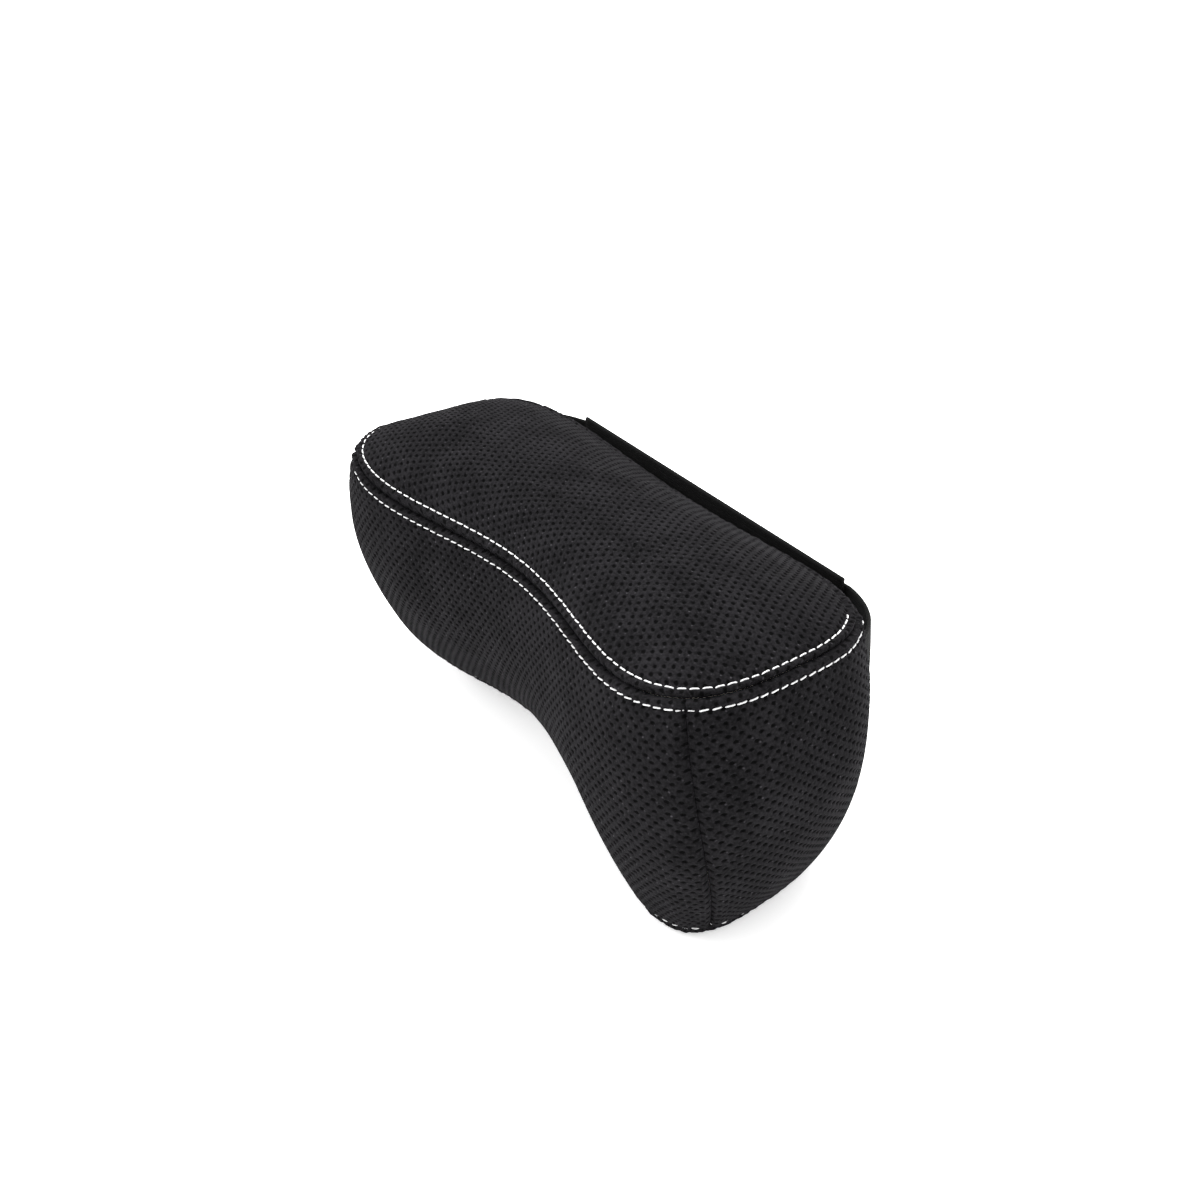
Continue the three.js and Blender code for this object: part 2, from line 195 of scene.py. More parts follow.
def surface(row, share):
    """Points of the plain outer surface, which the CAD solids have too."""
    row, share = np.broadcast_arrays(np.asarray(row, float), np.asarray(share, float))
    seam = seam_point(share)
    r = np.clip(row, 0, 1)
    ridge = np.stack([seam[..., 0] * RIDGE_SHARE, np.full_like(r, RIDGE_Y), seam[..., 2]], -1)
    top = ridge + (seam - ridge) * r[..., None]
    crown = CROWN_HEIGHT - CROWN_TILT * seam[..., 0] * RIDGE_SHARE / HALF_LENGTH
    top[..., 2] += (crown - seam[..., 2]) * (1 - r**CROWN_POWER) ** CROWN_ROUNDNESS
    wall = wall_point(np.clip(row - 1, 0, 1), share)
    foot = wall_point(np.ones_like(row), share)
    middle = np.stack([foot[..., 0] * RIDGE_SHARE, np.full_like(r, RIDGE_Y), r * 0], -1)
    under = middle + (foot - middle) * np.clip(3 - row, 0, 1)[..., None]
    lift = foot[..., 2] - base_height(foot[..., 0])
    under[..., 2] = base_height(under[..., 0]) + lift * np.clip(3 - row, 0, 1) ** 2
    return np.where((row <= 1)[..., None], top, np.where((row <= 2)[..., None], wall, under))


def bell(value, centre, width):
    return np.exp(-(((value - centre) / width) ** 2))


def smooth(value, low, high):
    t = np.clip((value - low) / (high - low), 0, 1)
    return t * t * (3 - 2 * t)


def outward(row, share):
    """Direction out of the surface, averaged across a seam so that both panels share it."""
    row, share = np.broadcast_arrays(np.asarray(row, float), np.asarray(share, float))
    down = surface(np.minimum(row + 0.03, 3), share) - surface(np.maximum(row - 0.03, 0), share)
    along = surface(row, share + 0.004) - surface(row, share - 0.004)
    normal = np.cross(down, along)
    normal /= np.maximum(np.linalg.norm(normal, axis=-1, keepdims=True), 1e-12)
    off_top = smooth(row, 0.05, 0.3)[..., None]
    under = smooth(row, 2.1, 2.25)[..., None]
    up, below = (1 - off_top) * np.array([0, 0, 1]), under * np.array([0, 0, -1])
    return unit(normal * (off_top * (1 - under)) + up + below)


# ---------------------------------------------------------------- cloth simulation of the cover

SIM_BANDS = (0, 14, 38, 48)  # grid rows at rows 0, 1, 2 and 3 of the surface
SIM_COLUMNS = 144
SIM_START_INSET = 0.6 * MM
SIM_CAP = 3 * MM
SIM_STIFFNESS = 0.2
SIM_PRESSURE = 4
SIM_FRAMES = 20


def ring_index(rows, columns, ridges):
    """Index grid of a ring of columns, closed, with the two sides of each ridge row merged."""
    index = np.arange(rows * columns).reshape(rows, columns)
    quarter = columns // 4
    for ridge in ridges:
        for j in range(quarter + 1, 3 * quarter):
            index[ridge, j] = index[ridge, (columns + columns // 2 - j) % columns]
    return np.concatenate([index, index[:, :1]], 1)


def quads(index, outwards=True):
    """Quads of an index grid, with its rows running down and its columns anticlockwise."""
    a, b, c, d = index[:-1, :-1], index[1:, :-1], index[1:, 1:], index[:-1, 1:]
    corners = (a, b, c, d) if outwards else (d, c, b, a)
    return np.stack(corners, -1).reshape(-1, 4)


def placed(name, data):
    """Object of the scene made from its data."""
    made = bpy.data.objects.new(name, data)
    bpy.context.scene.collection.objects.link(made)
    return made


def mesh_object(name, points, faces, fabric=None):
    """Object from points and faces, with unused points and repeated corners left out."""
    faces = [list(dict.fromkeys(face)) for face in faces]
    faces = [face for face in faces if len(face) > 2]
    used = np.unique(np.concatenate([np.array(face) for face in faces]))
    place = np.full(len(points), -1)
    place[used] = np.arange(len(used))
    mesh = bpy.data.meshes.new(name)
    mesh.from_pydata(points[used].tolist(), [], [[int(place[v]) for v in face] for face in faces])
    mesh.update()
    if fabric is not None:
        attribute = mesh.attributes.new("fabric", "FLOAT_VECTOR", "POINT")
        flat = np.zeros((len(used), 3), np.float32)
        flat[:, :2] = fabric[used]
        attribute.data.foreach_set("vector", flat.ravel())
    return placed(name, mesh)


def sim_grid():
    grid_row = np.arange(SIM_BANDS[-1] + 1)
    row = np.interp(grid_row, SIM_BANDS, (0, 1, 2, 3))
    share = np.arange(SIM_COLUMNS) / SIM_COLUMNS
    return np.meshgrid(row, share, indexing="ij")


def held_points(row, share, points):
    """Which points of the simulated cover stay put: seams, the zip, and what stands on the floor."""
    side = np.minimum(np.mod(share, 0.5), 0.5 - np.mod(share, 0.5))
    half_step = 0.5 / SIM_COLUMNS
    wall = (row >= 1) & (row <= 2)
    seams = np.isclose(row, 1) | np.isclose(row, 2)
    corners = wall & (np.abs(side - CORNER) < half_step)
    at_back = wall & (np.abs(share - 0.5) < 0.5 - CORNER - 0.12)
    zip_low, zip_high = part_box("zip_tape_lower")[0].z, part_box("zip_tape_upper")[1].z
    zipped = at_back & (points[..., 2] > zip_low - 3 * MM) & (points[..., 2] < zip_high + 3 * MM)
    standing = (row > 2) & (points[..., 2] < 0.5 * MM)
    return seams | corners | zipped | standing


def simulate_cover():
    """How far the cover swells between its seams, by cloth simulation, on the grid of sim_grid()."""
    row, share = sim_grid()
    points = surface(row, share)
    normal = outward(row, share)
    held = held_points(row, share, points)
    start = points - normal * (SIM_START_INSET * ~held)[..., None]
    index = ring_index(*row.shape, ridges=(0, row.shape[0] - 1))
    form = mesh_object("cover_form", start.reshape(-1, 3), quads(index).tolist())
    used = np.unique(index)
    group = form.vertex_groups.new(name="held")
    group.add(np.flatnonzero(held.ravel()[used]).tolist(), 1.0, "REPLACE")
    cloth = form.modifiers.new("cloth", "CLOTH")
    cloth.settings.vertex_group_mass = "held"
    cloth.settings.use_pressure = True
    cloth.settings.uniform_pressure_force = SIM_PRESSURE
    cloth.settings.quality = 6
    for kind in ("tension", "compression", "shear"):
        setattr(cloth.settings, f"{kind}_stiffness", SIM_STIFFNESS)
    cloth.settings.bending_stiffness = 0.05
    cloth.settings.effector_weights.gravity = 0
    cloth.point_cache.frame_start = 1
    cloth.point_cache.frame_end = SIM_FRAMES
    for number in range(1, SIM_FRAMES + 1):
        bpy.context.scene.frame_set(number)
    done = form.evaluated_get(bpy.context.evaluated_depsgraph_get()).to_mesh()
    moved = np.zeros(len(done.vertices) * 3)
    done.vertices.foreach_get("co", moved)
    everywhere = points.reshape(-1, 3).copy()
    everywhere[used] = moved.reshape(-1, 3)
    bpy.data.objects.remove(form)
    bpy.context.scene.frame_set(1)
    swell = ((everywhere.reshape(points.shape) - points) * normal).sum(-1)
    return np.clip(swell.ravel()[index[:, :-1]], -SIM_START_INSET, SIM_CAP)


def cubic_weights(t):
    """Weights of the four samples round a place t of the way from the second to the third."""
    return (
        ((2 - t) * t - 1) * t / 2,
        ((3 * t - 5) * t * t + 2) / 2,
        ((4 - 3 * t) * t + 1) * t / 2,
        (t - 1) * t * t / 2,
    )


def swell_at(row, share):
    """Simulated swelling at any row and share."""
    place = np.interp(row, (0, 1, 2, 3), SIM_BANDS)
    first = np.minimum(np.floor(place).astype(int), SIM_BANDS[-1] - 1)
    column = np.mod(share, 1) * SIM_COLUMNS
    left = np.floor(column).astype(int)
    total = np.zeros(np.broadcast(row, share).shape)
    for i, down in zip((-1, 0, 1, 2), cubic_weights(place - first)):
        line = np.clip(first + i, 0, SIM_BANDS[-1])
        for j, across in zip((-1, 0, 1, 2), cubic_weights(column - left)):
            total += down * across * COVER_SWELL[line, (left + j) % SIM_COLUMNS]
    return total


# ---------------------------------------------------------------- skin: surface with sewn detail

HEM_HEIGHT = 0.75 * MM
SEAM_GROOVE = 1.5 * MM
CORNER_GROOVE = 1.3 * MM
PUCKER_HEIGHT = 0.22 * MM
SOFT_WAVE = 0.5 * MM
ZIP_WELT = 4.3 * MM  # from the zip's middle to the folded edges of the panels beside it
ZIP_COVER = 1.1 * MM  # of those edges over the zip's middle plane
ZIP_END_FADE = 7 * MM  # past the zip's end, where the two edges come together
ZIP_STITCH_LINE = 6.9 * MM
ZIP_STITCH_REACH = 0.138  # share of the way round that a row of zip stitches runs to each side


def hem(distance, ripple):
    """Height across a topstitched hem: distance is 0 at the seam and 1 at the stitches."""
    groove = -SEAM_GROOVE * bell(distance, 0, 0.22)
    roll = HEM_HEIGHT * bell(distance, 0.5, 0.27)
    dip = -0.75 * HEM_HEIGHT * bell(distance, 1, 0.2)
    fade = 0.35 * HEM_HEIGHT * bell(distance, 1.9, 0.5)
    pucker = PUCKER_HEIGHT * ripple * bell(distance, 1, 0.8)
    return groove + roll + dip + fade + pucker


def sewn_height(row, share):
    """Height of seams, hems, puckers and the soft unevenness of a padded cover."""
    along = np.mod(share, 1) * PERIMETER
    ripple = 0.6 * np.sin(2 * np.pi * along / (2 * STITCH_PITCH))
    ripple = ripple + 0.4 * np.sin(2 * np.pi * along / (3.7 * STITCH_PITCH) + 1)
    top = np.where(row < 1, (1 - row) / (1 - UPPER_STITCH_ROW), 99)
    below = np.where((row >= 1) & (row <= 2), (row - 1) / (LOWER_STITCH_ROW - 1), 99)
    base = np.where((row > 1) & (row <= 2), (2 - row) / (2 - BASE_STITCH_ROW), 99)
    turned = np.where(row > 2, (row - 2) / 0.07, 99)
    height = hem(top, ripple) + hem(below, ripple) + hem(base, ripple)
    height = height - SEAM_GROOVE * bell(turned, 0, 0.5)
    front = np.minimum(np.mod(share, 1), 1 - np.mod(share, 1))
    slanted = CORNER + CORNER_SLANT * np.clip(row - 1, 0, 1)
    from_corner = np.minimum(np.abs(front - slanted), np.abs(0.5 - front - CORNER)) * PERIMETER
    edge = -CORNER_GROOVE * bell(from_corner, 0, 1.1 * MM)
    edge = edge + 0.45 * MM * bell(from_corner, 3.4 * MM, 1.9 * MM)
    wall = smooth(row, 1.0, 1.02) * (1 - smooth(row, 1.94, 1.975))
    wave = np.sin(row * 9 + 3 * np.sin(share * 25.1)) * np.sin(share * 43.9 + 2 * row)
    inside = np.minimum(np.abs(row - 1), np.abs(row - 2))
    return height + edge * wall + SOFT_WAVE * wave * smooth(inside, 0.05, 0.3)


def zip_welt(points):
    """How far the back wall is lifted so that its folded edges lie over the zip's tapes."""
    up = points[..., 2] - ZIP_MIDDLE.z
    cover = ZIP_MIDDLE.y + ZIP_COVER + up * math.tan(ZIP_TILT)
    nearness = 1 - smooth(np.abs(up), 7.5 * MM, 19 * MM)
    nearness *= 1 - smooth(np.abs(points[..., 0]), ZIP_REACH, ZIP_REACH + 2 * ZIP_END_FADE)
    nearness *= points[..., 1] > ZIP_MIDDLE.y / 2
    roll = 0.5 * MM * bell(np.abs(up), ZIP_WELT + 1.6 * MM, 2 * MM)
    return (np.clip(cover - points[..., 1], 0, 4 * MM) + roll) * nearness


def skin(row, share, lift=0.0):
    """Points of the sewn cover, without the holes of the fabric."""
    base = surface(row, share)
    height = swell_at(row, share) + sewn_height(row, share) + zip_welt(base) + lift
    return base + outward(row, share) * height[..., None]


HOLE_TABLE = (97, 89)  # rows and columns after which the holes' depths repeat
HOLE_VARIATION = np.random.default_rng(7).uniform(0.65, 1.2, HOLE_TABLE)


def warped(fabric, grain):
    """Fabric coordinates in hole pitches, with the knit's turn and the drift of a stretched cloth."""
    u = fabric[..., 0] * math.cos(grain) + fabric[..., 1] * math.sin(grain)
    v = fabric[..., 1] * math.cos(grain) - fabric[..., 0] * math.sin(grain)
    drift_u = 0.35 * MM * np.sin(v / (13 * MM) + 0.6 * np.sin(u / (31 * MM)))
    drift_v = 0.3 * MM * np.sin(u / (17 * MM) + 0.8 * np.sin(v / (23 * MM)))
    return np.stack([(u + drift_u) / HOLE_PITCH, (v + drift_v) / HOLE_ROW], -1)


def hole_depth(pitches):
    """Depth of the fabric's holes at warped coordinates."""
    line = np.floor(pitches[..., 1]).astype(int)
    across = pitches[..., 0] + 0.5 * np.mod(line, 2)
    column = np.floor(across).astype(int)
    du = (across - column - 0.5) * HOLE_PITCH / HOLE_HALF[0]
    dv = (pitches[..., 1] - line - 0.5) * HOLE_ROW / HOLE_HALF[1]
    varied = HOLE_DEPTH * HOLE_VARIATION[line % HOLE_TABLE[0], column % HOLE_TABLE[1]]
    return varied * np.exp(-((du**2 + dv**2) ** 1.3))


# ---------------------------------------------------------------- pieces of the cover


def even_steps(length):
    """Number of fine steps over a length, a multiple of INNER_STEP."""
    return INNER_STEP * max(1, round(length / GRID_STEP / INNER_STEP))


def length_down(points):
    """Length down each column of a panel's points, from the first row."""
    steps = np.linalg.norm(np.diff(points, axis=0), axis=-1)
    return np.concatenate([np.zeros((1, points.shape[1])), np.cumsum(steps, 0)])


def plan_fabric(row, share, ridge_row):
    """Fabric coordinates of a panel cut flat from above, laid out by length from its ridge."""
    points = surface(row, share)
    arc = length_down(points)
    arc = np.abs(arc - arc[ridge_row])
    ridge = points[ridge_row][None, :, :2]
    rim = points[-1 if ridge_row == 0 else 0][None, :, :2]
    towards = rim - ridge
    towards = towards / np.maximum(np.linalg.norm(towards, axis=-1, keepdims=True), 1e-9)
    return ridge + towards * arc[..., None]


def wall_fabric(row, share):
    """Fabric coordinates of a wall panel: the way round and the length down."""
    return np.stack([share * PERIMETER, -length_down(surface(row, share))], -1)


def rim_faces(outer, inner):
    """Polygons from a fine edge to the coarse edge inside it."""
    faces = []
    for j in range(len(inner) - 1):
        fine = outer[j * INNER_STEP : (j + 1) * INNER_STEP + 1]
        faces.append([*fine.tolist(), int(inner[j + 1]), int(inner[j])])
    return faces


def panel(name, row, share, fabric, ring=False, ridge_row=None):
    """Closed panel of spacer mesh, fine outside with the holes of the fabric and coarse inside."""
    pitches = warped(fabric, TOP_GRAIN if ring else WALL_GRAIN)
    outer = skin(row, share, -hole_depth(pitches))
    outer[..., 2] = np.maximum(outer[..., 2], 0)
    coarse = (slice(None, None, INNER_STEP), slice(None, None, INNER_STEP))
    height = np.minimum(swell_at(row, share), 0)[coarse] - MESH_THICKNESS
    inner = surface(row, share)[coarse] + outward(row, share)[coarse] * height[..., None]
    if ring:
        ridges = (ridge_row,)
        outer_index = ring_index(*row.shape, ridges)
        inner_index = ring_index(*inner.shape[:2], ridges) + outer[..., 0].size
    else:
        outer_index = np.arange(row.size).reshape(row.shape)
        inner_index = np.arange(inner[..., 0].size).reshape(inner.shape[:2]) + row.size
    faces = quads(outer_index).tolist() + quads(inner_index, outwards=False).tolist()
    if ridge_row != 0:
        faces += rim_faces(outer_index[0], inner_index[0])
    if ridge_row != -1:
        faces += rim_faces(outer_index[-1][::-1], inner_index[-1][::-1])
    if not ring:
        faces += rim_faces(outer_index[:, 0][::-1], inner_index[:, 0][::-1])
        faces += rim_faces(outer_index[:, -1], inner_index[:, -1])
    points = np.concatenate([outer.reshape(-1, 3), inner.reshape(-1, 3)])
    laid = np.concatenate([pitches.reshape(-1, 2), pitches[coarse].reshape(-1, 2)])
    made = mesh_object(name, points, faces, laid)
    made.data.polygons.foreach_set("use_smooth", [len(p.vertices) == 4 for p in made.data.polygons])
    made.data.materials.append(MATERIALS["spacer_mesh"])
    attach(made, "pillow")
    return made


def capped_panel(name, first, last, ridge_row, node):
    """Panel of the top or the underside, which runs right round the outline."""
    columns = 4 * even_steps(PERIMETER / 4)
    rows = np.linspace(first, last, even_steps(60 * MM) + 1)
    row, share = np.meshgrid(rows, np.arange(columns) / columns, indexing="ij")
    made = panel(name, row, share, plan_fabric(row, share, ridge_row), True, ridge_row)
    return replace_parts(made, node)


def wall_panel(name, first, last, start, end, height, node):
    """Panel of the wall. first and last give the row of its upper and lower edges at a share.

    start and end are its sides: the share at the top seam and how much further round at the base.
    """
    t = np.linspace(0, 1, even_steps((end[0] - start[0]) * PERIMETER) + 1)
    down = np.linspace(0, 1, even_steps(height) + 1)[:, None]
    begin = start[0] + start[1] * down + PANEL_GAP
    finish = end[0] + end[1] * down - PANEL_GAP
    share = begin + (finish - begin) * t
    row = first(share) + (last(share) - first(share)) * down
    made = panel(name, row, share, wall_fabric(row, share))
    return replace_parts(made, node)


def top_edge(share):
    return np.full_like(share, 1.0008)


def base_edge(share):
    return np.full_like(share, 1.9992)


def zip_edge(side, welt=ZIP_WELT):
    """Row of the back wall's edge beside the zip, above it (1) or below it (-1)."""
    low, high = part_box("zip_coil_lower"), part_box("zip_coil_upper")
    middle = (low[0].z + high[1].z) / 2

    def edge(share):
        top = wall_point(np.zeros_like(share), share)
        foot = wall_point(np.ones_like(share), share)
        closing = 1 - smooth(np.abs(top[..., 0]), ZIP_REACH - 1 * MM, ZIP_REACH + ZIP_END_FADE)
        half = 0.1 * MM + welt * closing
        return 1 + (top[..., 2] - middle - side * half) / (top[..., 2] - foot[..., 2])

    return edge


def foam_core():
    """Moulded foam inside the cover."""
    columns = 144
    rows = np.concatenate([np.linspace(0, 1, 15), np.linspace(1, 2, 25)[1:], np.linspace(2, 3, 13)[1:]])
    row, share = np.meshgrid(rows, np.arange(columns) / columns, indexing="ij")
    points = surface(row, share) - outward(row, share) * CORE_INSET
    index = ring_index(*row.shape, ridges=(0, row.shape[0] - 1))
    core = mesh_object("foam_block", points.reshape(-1, 3), quads(index).tolist())
    core.data.shade_smooth()
    core.data.materials.append(MATERIALS["foam"])
    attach(core, "pillow")
    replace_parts(core, "foam_core")


def cover():
    capped_panel("top_panel", 0, 0.9985, 0, "cover_top_panel")
    capped_panel("bottom_panel", 2.0015, 3, -1, "cover_bottom_panel")
    front_right, front_left = (CORNER, CORNER_SLANT), (-CORNER, -CORNER_SLANT)
    back_right, back_left, far_back = (0.5 - CORNER, 0), (0.5 + CORNER, 0), (CORNER - 0.5, 0)
    wall = {
        "front_band": (top_edge, base_edge, front_left, front_right, 122 * MM),
        "end_panel_right": (top_edge, base_edge, front_right, back_right, 134 * MM),
        "end_panel_left": (top_edge, base_edge, far_back, front_left, 134 * MM),
        "back_panel_upper": (top_edge, zip_edge(1), back_right, back_left, 82 * MM),
        "back_panel_lower": (zip_edge(-1), base_edge, back_right, back_left, 40 * MM),
    }
    for name, edges in wall.items():
        wall_panel(name, *edges, f"cover_{name.replace('back_panel', 'back')}")


# ---------------------------------------------------------------- sewn thread

THREAD_SIDES = 10
THREAD_RINGS = 9


def tube_faces(rings, sides, outwards=True):
    """Faces of a closed tube of rings of points, with a cap on each end."""
    index = np.arange(rings * sides).reshape(rings, sides)
    index = np.concatenate([index, index[:, :1]], 1)
    caps = [index[0, :-1].tolist(), index[-1, :-1][::-1].tolist()]
    return quads(index, outwards).tolist() + caps


def stitches(name, paths, radius, material):
    """One piece of many stitches. A path gives a stitch's start, end and outward direction."""
    start, end, normal = (np.array(part, float) for part in zip(*paths))
    along = end - start
    length = np.linalg.norm(along, axis=-1, keepdims=True)
    along = along / length
    across = unit(np.cross(normal, along))
    up = np.cross(along, across)
    t = np.linspace(-1, 1, THREAD_RINGS)
    turn = np.linspace(0, 2 * np.pi, THREAD_SIDES, endpoint=False)
    centre = (start + end)[:, None] / 2 + along[:, None] * t[None, :, None] * length[:, None] / 2
    arch = radius * (0.75 - 1.9 * np.abs(t) ** 3.5)
    centre = centre + up[:, None] * arch[None, :, None]
    ply = 1 + 0.1 * np.cos(2 * turn[None, :] + 5.5 * t[:, None])
    size = radius * ply * (1 - 0.25 * np.abs(t) ** 6)[:, None]
    ring = (
        np.cos(turn)[None, None, :, None] * up[:, None, None]
        + np.sin(turn)[None, None, :, None] * across[:, None, None]
    )
    points = centre[:, :, None] + ring * size[None, :, :, None]
    count = THREAD_RINGS * THREAD_SIDES
    one = tube_faces(THREAD_RINGS, THREAD_SIDES, outwards=False)
    faces = [[v + number * count for v in face] for number in range(len(paths)) for face in one]
    made = mesh_object(name, points.reshape(-1, 3), faces)
    made.data.shade_smooth()
    made.data.materials.append(material)
    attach(made, "pillow")
    return made


def row_paths(row, start, end, slant, seed):
    """Stitches from share start to end, at the stitch pitch. row gives the grid row at a share."""
    shares = np.linspace(start, end, 1500)
    line = skin(row(shares), shares)
    way = np.concatenate([[0], np.cumsum(np.linalg.norm(np.diff(line, axis=0), axis=1))])
    count = round(way[-1] / STITCH_PITCH)
    jitter = np.random.default_rng(seed).normal(0, 0.06 * MM, (count, 4))
    paths = []
    for number in range(count):
        low = (number + STITCH_SPACE / 2) * way[-1] / count + jitter[number, 0]
        high = (number + 1 - STITCH_SPACE / 2) * way[-1] / count + jitter[number, 1]
        ends = np.interp([low, high], way, shares)
        normal = outward(row(ends[:1]), ends[:1])[0]
        a, b = skin(row(ends), ends)
        side = np.cross(normal, b - a)
        side /= np.linalg.norm(side)
        lean = side * (slant + jitter[number, 2])
        paths.append((a - lean, b + lean, normal))
    return paths


def topstitching():
    end = 0.5 - CORNER
    rows = {
        "topstitch_top_upper": (UPPER_STITCH_ROW, 0.06 * MM, end - 0.001),
        "topstitch_top_lower": (LOWER_STITCH_ROW, 0.2 * MM, end + 0.004),
        "topstitch_bottom": (BASE_STITCH_ROW, 0.12 * MM, end - 0.002),
    }
    for seed, (node, (row, slant, reach)) in enumerate(rows.items()):
        paths = row_paths(lambda share, row=row: np.full_like(share, row), -reach, reach, slant, seed)
        name = node.replace("topstitch", "stitches")
        made = stitches(name, paths, THREAD_RADIUS, MATERIALS["thread"])
        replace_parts(made, node)


def zip_stitching():
    """Black stitches that hold the folded edges of the back wall on the zip's tapes."""
    for name, side in (("upper", 1), ("lower", -1)):
        line = zip_edge(side, ZIP_STITCH_LINE)
        paths = row_paths(line, 0.5 - ZIP_STITCH_REACH, 0.5 + ZIP_STITCH_REACH, 0.05 * MM, 11 + side)
        made = stitches(f"zip_stitches_{name}", paths, FINE_THREAD, MATERIALS["black_thread"])


TACK_STEP = 0.9 * MM
TACK_ROWS = 0.007  # rows from a tack's middle to its edge


def bartacks():
    """White tacks that lock the lower row at the back corner seams."""
    for name, side in (("right", 1), ("left", -1)):
        start = 0.5 - CORNER + 0.004
        paths = []
        for step in range(5):
            share = start + step * TACK_STEP / PERIMETER
            swing = TACK_ROWS if step % 2 else -TACK_ROWS
            rows = np.array([LOWER_STITCH_ROW + swing, LOWER_STITCH_ROW - swing])
            shares = side * np.array([share, share + TACK_STEP / PERIMETER])
            a, b = skin(rows, shares)
            paths.append((a, b, outward(rows[:1], shares[:1])[0]))
        made = stitches(f"tack_{name}", paths, THREAD_RADIUS, MATERIALS["thread"])
        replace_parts(made, f"bartack_{name}")


# ---------------------------------------------------------------- strap and its tabs


EDGE_ROUNDING = 0.8 * MM
PLAIN_EDGE = 0.5 * MM  # along each edge of a webbing, without ribs


def webbing(name, lines, thickness, rib_depth, material):
    """Closed webbing through lines, an array (across, along) of points on its inner face."""
    normal = unit(np.cross(np.gradient(lines, axis=1), np.gradient(lines, axis=0)))
    normal *= np.sign((normal * np.array([0, 1, 0])).sum(-1, keepdims=True).mean() or 1)
    steps = np.linalg.norm(np.diff(lines, axis=0), axis=-1).mean(1)
    place = np.concatenate([[0], np.cumsum(steps)])
    rib = rib_depth * np.abs(np.sin(np.pi * place / RIB_PITCH))
    edge = np.minimum(place, place[-1] - place)
    rounding = thickness / 2 * (1 - np.sqrt(np.clip(1 - (1 - edge / EDGE_ROUNDING) ** 2, 0, 1)))
    rounding = np.where(edge < EDGE_ROUNDING, rounding, 0)
    inner = lines + normal * (rounding - rib * (edge > PLAIN_EDGE))[:, None, None]
    outer = lines + normal * (thickness - rounding + rib * (edge > PLAIN_EDGE))[:, None, None]
    count = lines.shape[0] * lines.shape[1]
    a = np.arange(count).reshape(lines.shape[:2])
    b = a + count
    loop = np.concatenate([a, b[::-1], a[:1]])
    faces = quads(loop).tolist()
    for column, flip in ((0, True), (-1, False)):
        ends = np.stack([a[:, column], b[:, column]], 1)
        faces += quads(ends, outwards=flip).tolist()
    points = np.concatenate([inner.reshape(-1, 3), outer.reshape(-1, 3)])
    made = mesh_object(name, points, faces)
    made.data.validate()
    recalculate(made)
    made.data.shade_smooth()
    made.data.materials.append(material)
    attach(made, "pillow")
    return made


def recalculate(made):
    """Turns every face of a closed mesh outwards."""
    bpy.context.view_layer.objects.active = made
    made.select_set(True)
    bpy.ops.object.mode_set(mode="EDIT")
    bpy.ops.mesh.select_all(action="SELECT")
    bpy.ops.mesh.normals_make_consistent(inside=False)
    bpy.ops.object.mode_set(mode="OBJECT")
    made.select_set(False)


STRAP_WIDTH = 50 * MM
TAB_RISE = 6 * MM  # of the tab between the strap and the corner seam
TAB_THICKNESS = 1.4 * MM
TAB_LINES = 156  # across a tab
TAB_LAP = 7 * MM  # of the tab over the strap's end
TAB_BEND = (113 * MM, 56 * MM)  # control point of the tab's curve, seen from above
TAB_SEAMS = (1.8 * MM, 5.2 * MM)  # from the tab's end to its rows of stitches
TAB_STITCH = 2.7 * MM
TAB_STITCH_PITCH = 3 * MM


def strap():
    """Elastic strap, ribbed along its length, drawn taut across the back and higher at its -X end."""
    low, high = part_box("elastic_strap")
    across = np.linspace(-STRAP_WIDTH / 2, STRAP_WIDTH / 2, 5 * round(STRAP_WIDTH / RIB_PITCH) + 1)
    along = np.linspace(low.x, high.x, 61)
    z, x = np.meshgrid(across, along, indexing="ij")
    z = z + (low.z + high.z) / 2 - TWIST * x / HALF_LENGTH
    lines = np.stack([x, np.full_like(x, low.y), z], -1)
    made = webbing("elastic_band", lines, high.y - low.y, 0.2 * MM, MATERIALS["elastic"])
    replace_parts(made, "elastic_strap")


def tabs():
    """Webbing tabs from the strap's ends into the corner seams."""
    strap_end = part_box("elastic_strap")[1]
    end_share = 0.5 - CORNER
    top, foot = wall_point(np.array([0.0, 1.0]), np.full(2, end_share))
    for name, side in (("right", 1), ("left", -1)):
        low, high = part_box(f"strap_tab_{name}")
        heights = np.linspace(low.z, high.z - TAB_RISE, TAB_LINES)
        rows = 1 + (top[2] - heights - TAB_RISE) / (top[2] - foot[2])
        seam = skin(rows, np.full_like(rows, end_share), -1.0 * MM)
        x = np.full_like(heights, strap_end.x - TAB_LAP)
        start = np.stack([x, np.full_like(heights, strap_end.y + 0.15 * MM), heights], -1)
        flat = start + np.array([TAB_LAP + 2 * MM, 0, 0])
        t = np.linspace(0, 1, 25)[None, :, None]
        bend = (flat + seam) / 2
        bend[:, 0], bend[:, 1] = TAB_BEND
        curve = flat[:, None] * (1 - t) ** 2 + 2 * bend[:, None] * t * (1 - t) + seam[:, None] * t**2
        t = np.linspace(0, 1, 7)[None, :-1, None]
        straight = start[:, None] * (1 - t) + flat[:, None] * t
        lines = np.concatenate([straight, curve], 1)
        if side < 0:
            lines = lines[:, ::-1] * np.array([-1, 1, 1])
        name_of_piece = f"webbing_tab_{name}"
        made = webbing(name_of_piece, lines, TAB_THICKNESS, 0.08 * MM, MATERIALS["webbing"])
        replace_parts(made, f"strap_tab_{name}")
        strap_seam(name, side, start)


